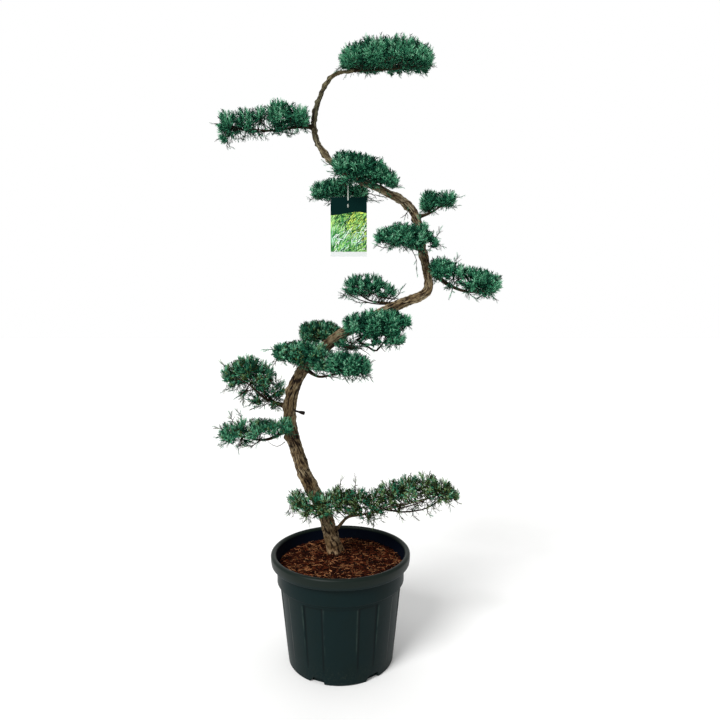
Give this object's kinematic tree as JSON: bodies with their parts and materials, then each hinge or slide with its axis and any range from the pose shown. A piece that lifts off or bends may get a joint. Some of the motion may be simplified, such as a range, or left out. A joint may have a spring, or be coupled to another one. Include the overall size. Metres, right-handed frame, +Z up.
{
  "type": "potted juniper niwaki",
  "caption": "Cloud-pruned juniper with a bare winding trunk, layered pads of blue-green foliage and a fluted round nursery pot with a blank-fronted hang tag.",
  "frame": {"origin": "middle of the pot's flat underside", "axes": "+Z up, +X to the right and -Y towards whoever looks at the plant from its front"},
  "size_m": [0.9862, 0.4948, 2.1585],
  "materials": {
    "pot": "moulded dark green plastic, satin",
    "mulch": "fibrous red-brown bark mulch",
    "bark": "stringy grey-brown juniper bark, matt",
    "foliage": "fine blue-green juniper sprays, matt",
    "card": "printed plastic card, satin",
    "tie": "white plastic strap"
  },
  "bodies": {
    "root": {"pot": "pot", "soil": "mulch", "trunk": "bark", "cut_stub": "bark", "bough_upper_left": "bark", "bough_low_back": "bark", "bough_right_small": "bark", "bough_middle": "bark", "bough_right": "bark", "bough_inner_left": "bark", "bough_elbow": "bark", "bough_behind": "bark", "bough_lower_left": "bark", "bough_lower_right": "bark", "bough_left_high": "bark", "bough_left_low": "bark", "bough_front_low": "bark", "bough_skirt": "bark", "mass_top": "foliage", "mass_upper_left": "foliage", "mass_saddle": "foliage", "mass_low_back": "foliage", "mass_right_small": "foliage", "mass_middle": "foliage", "mass_tuft_mid": "foliage", "mass_right": "foliage", "mass_inner_left": "foliage", "mass_elbow": "foliage", "mass_behind": "foliage", "mass_lower_left": "foliage", "mass_lower_right": "foliage", "mass_left_high": "foliage", "mass_left_low": "foliage", "mass_tuft_low": "foliage", "mass_front_low": "foliage", "mass_skirt": "foliage", "tag_card": "card", "tag_tie": "tie"}
  },
  "joints": []
}
